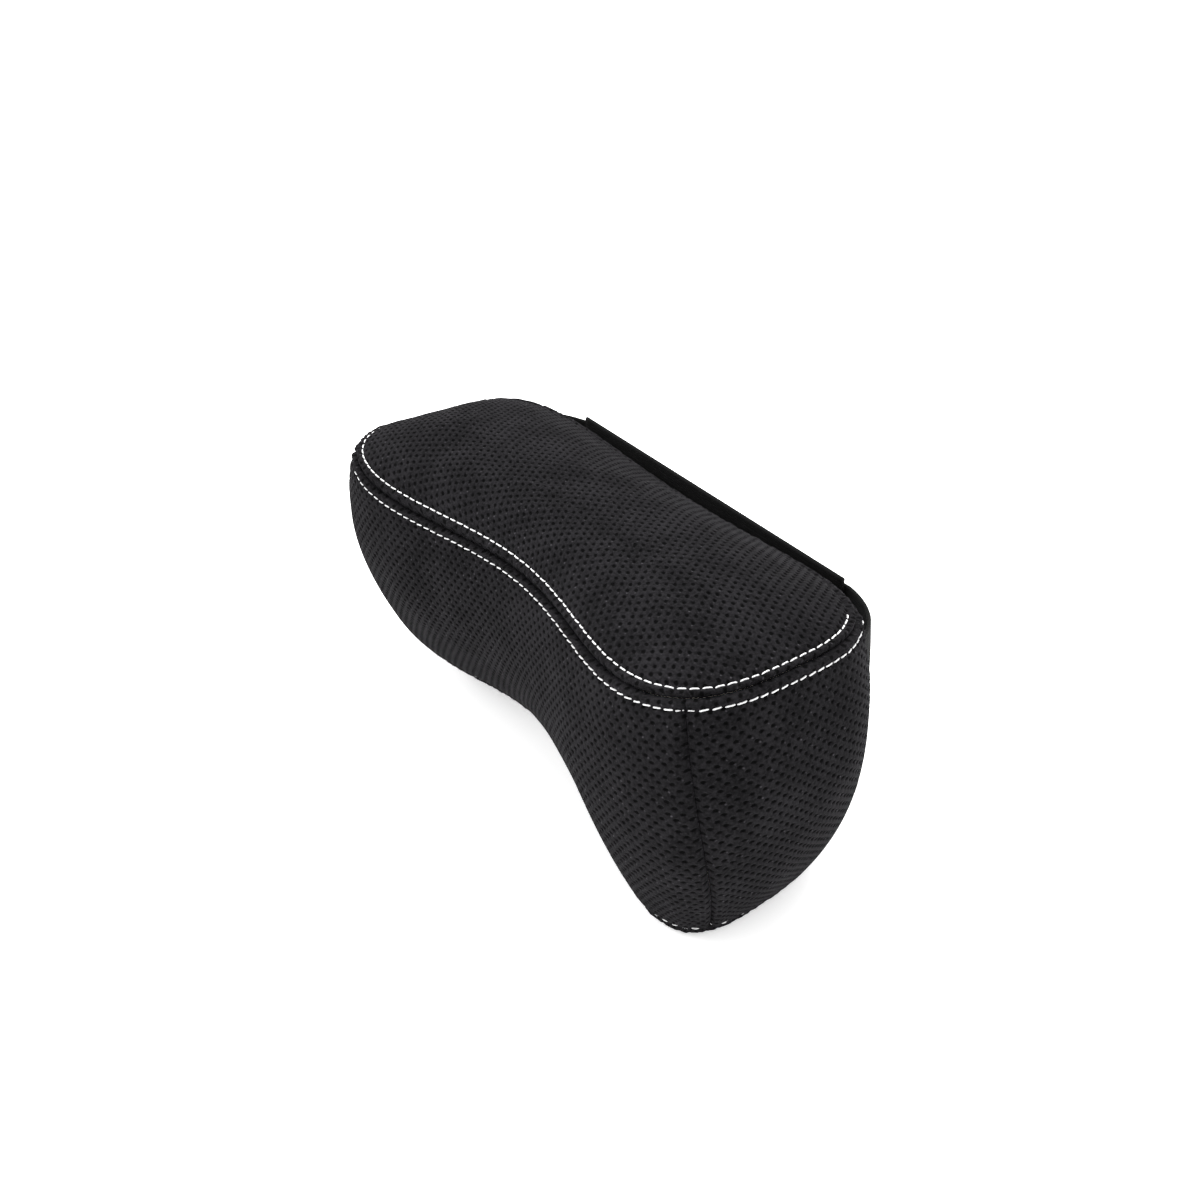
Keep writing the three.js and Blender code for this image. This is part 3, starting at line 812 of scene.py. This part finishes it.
def strap_seam(name, side, start):
    """Two rows of black stitches that hold the tab on the strap."""
    y = start[0, 1] + 1.45 * MM
    heights = np.arange(start[0, 2] + 1.5 * MM, start[-1, 2] - 3 * MM, TAB_STITCH_PITCH)
    places = [(side * (start[0, 0] + inset), z) for inset in TAB_SEAMS for z in heights]
    paths = [((x, y, z), (x, y, z + TAB_STITCH), (0, 1, 0)) for x, z in places]
    made = stitches(f"tab_stitches_{name}", paths, 0.3 * MM, MATERIALS["black_thread"])


# ---------------------------------------------------------------- zip

ZIP_SLIT = 0.5 * MM  # from the zip's middle to the teeth of each coil
COIL_PITCH = 1.25 * MM
WIRE_RADIUS = 0.3 * MM
COIL_HALF = (0.58 * MM, 0.42 * MM)  # half width and half thickness of the coil's loops
GUARD_HALF = 4.2 * MM
GUARD_DEPTH = 3.3 * MM  # behind the zip's middle plane, clear of the slider


def zip_frame():
    """Matrix of the zip's own frame: X along it, Y out of the wall and Z up across it."""
    matrix = Matrix.Rotation(-ZIP_TILT, 4, "X")
    matrix.translation = (0, ZIP_MIDDLE.y, ZIP_MIDDLE.z)
    return matrix


def tube(centres, across, up, half_width, half_height, sides=8):
    """Points and faces of a closed tube with an oval section along centres."""
    turn = np.linspace(0, 2 * np.pi, sides, endpoint=False)
    ring = np.cos(turn)[None, :, None] * across[:, None] * half_width
    ring = ring + np.sin(turn)[None, :, None] * up[:, None] * half_height
    return (centres[:, None] + ring).reshape(-1, 3), tube_faces(len(centres), sides)


def zip_piece(name, points, faces, material, body, node):
    """Piece drawn in the zip's frame that stands for a CAD node."""
    made = mesh_object(name, np.asarray(points, float), faces)
    made.data.transform(zip_frame())
    recalculate(made)
    made.data.shade_smooth()
    made.data.materials.append(MATERIALS[material])
    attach(made, body)
    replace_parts(made, node)


def zip_coils():
    """Nylon coils: a helix along each tape."""
    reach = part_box("zip_coil_upper")[1].x
    turns = int(2 * reach / COIL_PITCH)
    t = np.linspace(0, turns, turns * 10 + 1)
    for place, side in (("upper", 1), ("lower", -1)):
        middle = side * (ZIP_SLIT + COIL_HALF[0] + WIRE_RADIUS)
        angle = 2 * np.pi * t + (0 if side > 0 else np.pi)
        x = -reach + WIRE_RADIUS + (2 * reach - 2 * WIRE_RADIUS) * t / turns
        y = COIL_HALF[1] * np.sin(angle)
        z = middle + COIL_HALF[0] * np.cos(angle)
        centres = np.stack([x, y, z], -1)
        inward = np.stack([0 * x, np.sin(angle), np.cos(angle)], -1)
        across = np.cross(unit(np.gradient(centres, axis=0)), inward)
        points, faces = tube(centres, across, inward, WIRE_RADIUS, WIRE_RADIUS, sides=6)
        zip_piece(f"coil_teeth_{place}", points, faces, "zip_coil", "pillow", f"zip_coil_{place}")


def zip_guard():
    """Woven strip behind the zip, which keeps the foam out of its teeth."""
    reach = ZIP_REACH + ZIP_END_FADE
    across = np.linspace(-GUARD_HALF, GUARD_HALF, 31)
    z, x = np.meshgrid(across, np.linspace(-reach, reach, 41), indexing="ij")
    lines = np.stack([x, np.full_like(x, -GUARD_DEPTH), z], -1)
    lines = lines @ np.array(zip_frame().to_3x3()).T + np.array(zip_frame().translation)
    webbing("zip_guard", lines, 0.5 * MM, 0.06 * MM, MATERIALS["zip_tape"])


def plate(outlines, thickness, bevel):
    """Points and faces of a bevelled plate. An outline is a list of points along the zip's X and Z."""
    curve = bpy.data.curves.new("outline", "CURVE")
    curve.dimensions = "2D"
    curve.fill_mode = "BOTH"
    curve.extrude = thickness / 2 - bevel
    curve.bevel_depth = bevel
    curve.bevel_resolution = 2
    curve.offset = -bevel
    for outline in outlines:
        spline = curve.splines.new("POLY")
        spline.points.add(len(outline) - 1)
        for point, (x, z) in zip(spline.points, outline):
            point.co = (x, z, 0, 1)
        spline.use_cyclic_u = True
    made = placed("outline", curve)
    mesh = made.evaluated_get(bpy.context.evaluated_depsgraph_get()).to_mesh()
    points = np.array([(v.co.x, -v.co.z, v.co.y) for v in mesh.vertices])
    faces = [list(p.vertices) for p in mesh.polygons]
    bpy.data.objects.remove(made)
    return points, faces


def joined(*parts):
    """One set of points and faces from several."""
    points, faces = [], []
    for more_points, more_faces in parts:
        shift = sum(len(p) for p in points)
        points.append(np.asarray(more_points))
        faces += [[v + shift for v in face] for face in more_faces]
    return np.concatenate(points), faces


def rounded(points, centre, radius, start, end, steps=10):
    """Arc added to an outline."""
    for angle in np.linspace(start, end, steps + 1):
        points.append((centre[0] + radius * math.cos(angle), centre[1] + radius * math.sin(angle)))


SLIDER_WIDE, SLIDER_NARROW = (3.8 * MM, 1.6 * MM), (2.7 * MM, 1.2 * MM)  # half width, corner radius
SLIDER_PLATE = 1.0 * MM
SLIDER_LEVEL = 1.5 * MM  # of each plate's middle, from the zip's middle plane
BRIDGE_SPAN, BRIDGE_FOOT, BRIDGE_RISE = 3.0 * MM, 2.0 * MM, 3.75 * MM
BRIDGE_SQUARENESS = 0.45
BRIDGE_SECTION = (0.6 * MM, 0.38 * MM)


def slider():
    """Slider of two tapered plates joined by a web, and the bridge that holds the pull tab."""
    low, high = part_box("zip_slider")
    middle = (low.x + high.x) / 2
    outline = []
    half, radius = SLIDER_WIDE
    rounded(outline, (high.x - radius, half - radius), radius, 0, math.pi / 2, 5)
    half, radius = SLIDER_NARROW
    rounded(outline, (low.x + radius, half - radius), radius, math.pi / 2, math.pi, 5)
    outline += [(x, -z) for x, z in reversed(outline)]
    plates = []
    for side in (1, -1):
        points, faces = plate([outline], SLIDER_PLATE, 0.28 * MM)
        plates.append((points + np.array([0, side * SLIDER_LEVEL, 0]), faces))
    web = []
    rounded(web, (middle + 1.5 * MM, 0), 0.4 * MM, -math.pi / 2, math.pi / 2, 4)
    rounded(web, (middle - 1.5 * MM, 0), 0.4 * MM, math.pi / 2, 3 * math.pi / 2, 4)
    plates.append(plate([web], 2.2 * MM, 0.05 * MM))
    zip_piece("slider_body", *joined(*plates), "zip_metal", "slider", "zip_slider")
    angle = np.pi * (1 - np.linspace(0, 1, 33))
    x = middle + BRIDGE_SPAN * np.sign(np.cos(angle)) * np.abs(np.cos(angle)) ** BRIDGE_SQUARENESS
    y = BRIDGE_FOOT + BRIDGE_RISE * np.abs(np.sin(angle)) ** BRIDGE_SQUARENESS
    centres = np.stack([x, y, 0 * x], -1)
    across = np.tile([0.0, 0.0, 1.0], (len(x), 1))
    up = np.cross(unit(np.gradient(centres, axis=0)), across)
    points, faces = tube(centres, across, up, *BRIDGE_SECTION, 12)
    zip_piece("slider_bridge", points, faces, "zip_metal", "slider", "zip_slider_bridge")


PULL_LEVEL = 3.45 * MM  # of the pull tab's middle, from the zip's middle plane
PULL_TIP = 2.5 * MM  # radius of its rounded end
GRIP_PITCH = 1.3 * MM
GRIP_HALF = 1.5 * MM


def pull_tab():
    """Pull tab lying flat: an eye round the bridge, a waisted tongue and raised grip bars."""
    low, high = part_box("zip_pull")
    bar_x = high.x - 0.5 * MM
    tip = low.x + PULL_TIP
    outline = []
    rounded(outline, (bar_x - 0.7 * MM, 1.3 * MM), 1.2 * MM, 0, math.pi / 2, 5)
    outline.append((bar_x - 5.0 * MM, 2.5 * MM))
    outline.append((bar_x - 7.5 * MM, 1.7 * MM))
    outline.append((bar_x - 10 * MM, 1.9 * MM))
    rounded(outline, (tip, 0), PULL_TIP, math.pi / 2, math.pi, 8)
    outline += [(x, -z) for x, z in reversed(outline[:-1])]
    eye = []
    rounded(eye, (bar_x - 1.1 * MM, 0.5 * MM), 0.6 * MM, 0, math.pi / 2, 4)
    rounded(eye, (bar_x - 4.7 * MM, 0.5 * MM), 0.6 * MM, math.pi / 2, math.pi, 4)
    eye += [(x, -z) for x, z in reversed(eye)]
    points, faces = plate([outline, eye[::-1]], 1.2 * MM, 0.2 * MM)
    parts = [(points + np.array([0, PULL_LEVEL, 0]), faces)]
    z = np.linspace(-GRIP_HALF, GRIP_HALF, 7)
    across, up = (np.tile(axis, (len(z), 1)) for axis in ([1.0, 0.0, 0.0], [0.0, 1.0, 0.0]))
    for number in range(5):
        x = tip + (number - 0.5) * GRIP_PITCH
        centres = np.stack([0 * z + x, 0 * z + PULL_LEVEL + 0.55 * MM, z], -1)
        parts.append(tube(centres, across, up, 0.3 * MM, 0.25 * MM))
    zip_piece("pull_tongue", *joined(*parts), "zip_metal", "pull", "zip_pull")


# ---------------------------------------------------------------- materials


class Nodes:
    """Short way to wire a node material."""

    def __init__(self, name):
        self.material = bpy.data.materials.new(name)
        self.material.use_nodes = True
        self.tree = self.material.node_tree
        self.shader = self.tree.nodes["Principled BSDF"]

    def add(self, kind, **settings):
        node = self.tree.nodes.new(kind)
        for key, value in settings.items():
            setattr(node, key, value)
        return node

    def feed(self, socket, value):
        if hasattr(value, "is_output"):
            self.tree.links.new(value, socket)
        else:
            socket.default_value = value

    def math(self, operation, *values):
        node = self.add("ShaderNodeMath", operation=operation)
        for socket, value in zip(node.inputs, values):
            self.feed(socket, value)
        return node.outputs[0]

    def near(self, u, v, scale_u, scale_v):
        """Distance from an oval's middle, 1 on the oval."""
        pairs = ((u, scale_u), (v, scale_v))
        squares = [self.math("POWER", self.math("MULTIPLY", *pair), 2.0) for pair in pairs]
        return self.math("SQRT", self.math("ADD", *squares))

    def split(self, vector):
        node = self.add("ShaderNodeSeparateXYZ")
        self.feed(node.inputs[0], vector)
        return node.outputs

    def mix(self, factor, low, high):
        node = self.add("ShaderNodeMix", data_type="RGBA")
        for socket, value in zip((node.inputs[0], node.inputs[6], node.inputs[7]), (factor, low, high)):
            self.feed(socket, value)
        return node.outputs[2]

    def ramp(self, value, low, high):
        """Value mapped from low..high to 0..1, eased at both ends."""
        node = self.add("ShaderNodeMapRange", interpolation_type="SMOOTHSTEP")
        self.feed(node.inputs[0], value)
        self.feed(node.inputs[1], low)
        self.feed(node.inputs[2], high)
        return node.outputs[0]

    def place(self):
        return self.add("ShaderNodeTexCoord").outputs["Object"]

    def noise(self, vector, scale, detail=2.0):
        node = self.add("ShaderNodeTexNoise")
        self.feed(node.inputs["Vector"], vector)
        node.inputs["Scale"].default_value = scale
        node.inputs["Detail"].default_value = detail
        return node.outputs["Fac"]

    def bump(self, height, distance, strength=1.0, under=None):
        node = self.add("ShaderNodeBump")
        node.inputs["Distance"].default_value = distance
        node.inputs["Strength"].default_value = strength
        self.feed(node.inputs["Height"], height)
        if under is not None:
            self.feed(node.inputs["Normal"], under)
        return node.outputs[0]

    def set(self, **values):
        for key, value in values.items():
            self.feed(self.shader.inputs[key.replace("_", " ")], value)


def grey(value, tint=(1.0, 1.0, 1.0)):
    return (value * tint[0], value * tint[1], value * tint[2], 1.0)


PURPLE = (1.03, 0.97, 1.08)  # tint of the black yarn
# The holes' colour is painted shade: darker than the black yarn, it stands in for the shade inside each
# hole.
HOLE_SHADE = 0.0005
YARN_DARK = 0.002
YARN_LIGHT = 0.0125
# Painted highlight: the bright speck of light on the loop beside each hole.
PAINTED_GLINT = 0.06


def spacer_mesh_material():
    """Black knitted spacer mesh: staggered oval holes between fuzzy strands, painted shade in the holes
    and a painted highlight on the loop beside each hole.
    """
    n = Nodes("spacer_mesh_fabric")
    u, v, _ = n.split(n.add("ShaderNodeAttribute", attribute_name="fabric").outputs["Vector"])
    line = n.math("FLOOR", v)
    across = n.math("ADD", u, n.math("MULTIPLY", n.math("FLOORED_MODULO", line, 2.0), 0.5))
    du = n.math("SUBTRACT", n.math("FRACT", across), 0.5)
    dv = n.math("SUBTRACT", n.math("FRACT", v), 0.5)
    place = n.place()
    fuzz = n.noise(place, 900.0, 3.0)
    wobble = n.math("MULTIPLY", n.math("SUBTRACT", fuzz, 0.5), 0.55)
    distance = n.near(du, dv, HOLE_PITCH / HOLE_HALF[0], HOLE_ROW / HOLE_HALF[1])
    solid = n.ramp(n.math("ADD", distance, wobble), 0.62, 1.25)
    yarn = n.math("SINE", n.math("ADD", n.math("MULTIPLY", u, 75.4), n.math("MULTIPLY", v, 31.4)))
    strand = n.math("MULTIPLY_ADD", yarn, 0.14, fuzz)
    broad = n.noise(place, 60.0, 2.0)
    strand = n.math("ADD", strand, n.math("MULTIPLY", n.math("SUBTRACT", broad, 0.5), 0.5))
    # Painted highlight: a small bright spot on the loop below and beside each hole, where light catches
    # the yarn, thinned out by noise.
    loop = n.near(n.math("SUBTRACT", du, 0.22), n.math("ADD", dv, 0.36), 7.5, 4.5)
    loop = n.math("SUBTRACT", 1.0, n.ramp(loop, 0.3, 1.0))
    painted_glint = n.math("MULTIPLY", loop, n.ramp(n.noise(place, 420.0, 2.0), 0.5, 0.75))
    tones = [grey(tone, PURPLE) for tone in (YARN_DARK, YARN_LIGHT, PAINTED_GLINT)]
    yarn_colour = n.mix(n.ramp(strand, 0.25, 0.85), tones[0], tones[1])
    # The painted highlight is mixed over the yarn's own colour.
    glinted_yarn = n.mix(n.math("MULTIPLY", painted_glint, 0.6), yarn_colour, tones[2])
    # Painted shade: the holes take the darkest colour.
    colour = n.mix(solid, grey(HOLE_SHADE), glinted_yarn)
    height = n.math("MULTIPLY_ADD", strand, 0.5, n.math("MULTIPLY", solid, 1.0))
    n.set(Base_Color=colour, Roughness=0.92, Normal=n.bump(height, 0.45 * MM, 0.8))
    n.set(Specular_IOR_Level=0.05, Sheen_Weight=0.01, Sheen_Roughness=0.5)
    n.shader.inputs["Sheen Tint"].default_value = (0.9, 0.86, 1.0, 1.0)
    return n.material


def foam_material():
    n = Nodes("moulded_foam")
    place = n.place()
    cells = n.add("ShaderNodeTexVoronoi", feature="F1")
    n.feed(cells.inputs["Vector"], place)
    cells.inputs["Scale"].default_value = 900.0
    tone = n.noise(place, 30.0, 3.0)
    n.set(Base_Color=n.mix(tone, (0.74, 0.70, 0.58, 1), (0.82, 0.79, 0.70, 1)), Roughness=0.95)
    n.set(Normal=n.bump(cells.outputs["Distance"], 0.4 * MM), Specular_IOR_Level=0.2)
    return n.material


def thread_material(name, dark, light, twist):
    """Twisted sewing thread."""
    n = Nodes(name)
    place = n.place()
    wave = n.add("ShaderNodeTexWave", wave_type="BANDS", bands_direction="DIAGONAL")
    n.feed(wave.inputs["Vector"], place)
    wave.inputs["Scale"].default_value = twist
    wave.inputs["Distortion"].default_value = 1.5
    ply = wave.outputs["Fac"]
    tone = n.math("MULTIPLY_ADD", n.noise(place, 700.0), 0.5, n.math("MULTIPLY", ply, 0.5))
    n.set(Base_Color=n.mix(tone, dark, light), Roughness=0.6)
    n.set(Normal=n.bump(ply, 0.12 * MM, 0.7), Specular_IOR_Level=0.4, Sheen_Weight=0.1)
    return n.material


def woven_material(name, dark, light, pitch):
    """Fine woven webbing, elastic or zip tape."""
    n = Nodes(name)
    place = n.place()
    x, _, z = n.split(place)
    warp = n.math("SINE", n.math("MULTIPLY", x, 2 * math.pi / pitch))
    weft = n.math("SINE", n.math("MULTIPLY", z, 2 * math.pi / pitch))
    weave = n.math("MULTIPLY_ADD", n.math("MULTIPLY", warp, weft), 0.5, 0.5)
    fuzz = n.noise(place, 1200.0, 3.0)
    tone = n.math("MULTIPLY_ADD", weave, 0.6, n.math("MULTIPLY", fuzz, 0.4))
    n.set(Base_Color=n.mix(tone, dark, light), Roughness=0.9, Normal=n.bump(tone, 0.2 * MM, 0.9))
    n.set(Specular_IOR_Level=0.08, Sheen_Weight=0.01)
    return n.material


def hard_material(name, colour, bright, roughness, metallic, grain):
    """Nylon coil or coated metal, a little uneven and worn lighter."""
    n = Nodes(name)
    place = n.place()
    worn = n.ramp(n.noise(place, grain, 4.0), 0.45, 0.75)
    rough = n.math("MULTIPLY_ADD", n.noise(place, 3 * grain, 2.0), 0.2, roughness - 0.1)
    n.set(Base_Color=n.mix(worn, colour, bright), Roughness=rough, Metallic=metallic)
    n.set(Normal=n.bump(n.noise(place, 4 * grain, 2.0), 0.02 * MM, 0.5), Specular_IOR_Level=0.25)
    return n.material


def floor_material():
    n = Nodes("studio_floor")
    tone = n.noise(n.place(), 3.0, 2.0)
    n.set(Base_Color=n.mix(tone, grey(0.95), grey(0.97)), Roughness=0.95, Specular_IOR_Level=0.05)
    n.set(Emission_Color=(1, 1, 1, 1), Emission_Strength=0.3)
    return n.material


# ---------------------------------------------------------------- studio

CAMERA_AZIMUTH = 55.16  # degrees round from the front, towards +X
CAMERA_ELEVATION = 33.98
CAMERA_ROLL = -2.72
CAMERA_PLACE = (329.4 * MM, -224.9 * MM, 348.7 * MM)
CAMERA_LENS = 32.41
CAMERA_SHIFT = (0.0003, 0.0069)


def camera():
    data = bpy.data.cameras.new("camera")
    data.lens = CAMERA_LENS
    data.sensor_width = 36
    data.clip_start = 0.01
    data.shift_x, data.shift_y = CAMERA_SHIFT
    made = placed("camera", data)
    a, e = math.radians(CAMERA_AZIMUTH), math.radians(CAMERA_ELEVATION)
    right = Vector((math.cos(a), math.sin(a), 0))
    back = Vector((math.sin(a) * math.cos(e), -math.cos(a) * math.cos(e), math.sin(e)))
    up = back.cross(right)
    turn = Matrix.Rotation(math.radians(CAMERA_ROLL), 4, "Z")
    axes = Matrix((right, up, back)).transposed().to_4x4() @ turn
    axes.translation = CAMERA_PLACE
    made.matrix_world = axes
    bpy.context.scene.camera = made


def softbox(name, place, target, size, power):
    data = bpy.data.lights.new(name, "AREA")
    data.shape = "DISK"
    data.size = size
    data.energy = power
    made = placed(name, data)
    made.location = place
    made.rotation_euler = (Vector(target) - Vector(place)).to_track_quat("-Z", "Y").to_euler()


def studio():
    mesh = bpy.data.meshes.new("studio_floor")
    half = 12.0
    corners = [(-half, -half, 0), (half, -half, 0), (half, half, 0), (-half, half, 0)]
    mesh.from_pydata(corners, [], [(0, 1, 2, 3)])
    floor = placed("studio_floor", mesh)
    floor.location.z = -0.3 * MM
    floor.data.materials.append(floor_material())
    world = bpy.data.worlds.new("studio")
    world.use_nodes = True
    background = world.node_tree.nodes["Background"]
    background.inputs["Color"].default_value = (1, 1, 1, 1)
    background.inputs["Strength"].default_value = 1.5
    bpy.context.scene.world = world
    target = (0, 0, 0.08)
    softbox("overhead", (-0.1, 0.15, 1.3), target, 1.0, 22)
    softbox("front_left", (-0.9, -1.0, 0.9), target, 0.9, 10)
    bpy.context.scene.view_settings.view_transform = "Standard"


# ---------------------------------------------------------------- everything together

MATERIALS = {
    "spacer_mesh": spacer_mesh_material(),
    "foam": foam_material(),
    "thread": thread_material("white_thread", grey(0.55), grey(0.86), 900.0),
    "black_thread": thread_material("black_thread", grey(0.002), grey(0.01), 900.0),
    "elastic": woven_material("elastic_weave", grey(0.001), grey(0.009), 0.9 * MM),
    "webbing": woven_material("webbing_weave", grey(0.001), grey(0.011), 1.1 * MM),
    "zip_tape": woven_material("zip_tape_weave", grey(0.004), grey(0.016), 0.7 * MM),
    "zip_coil": hard_material("zip_coil_nylon", grey(0.003), grey(0.01), 0.6, 0.0, 400.0),
    "zip_metal": hard_material("zip_metal_coated", grey(0.02), grey(0.05), 0.4, 0.85, 300.0),
}

COVER_SWELL = simulate_cover()

camera()
studio()
foam_core()
cover()
topstitching()
zip_stitching()
bartacks()
strap()
tabs()
zip_guard()
zip_coils()
slider()
pull_tab()

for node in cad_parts.values():
    if node.hide_render:
        continue
    kind = "zip_tape" if "tape" in node.name else "zip_coil" if "coil" in node.name else "zip_metal"
    node.data.materials.clear()
    node.data.materials.append(MATERIALS[kind])
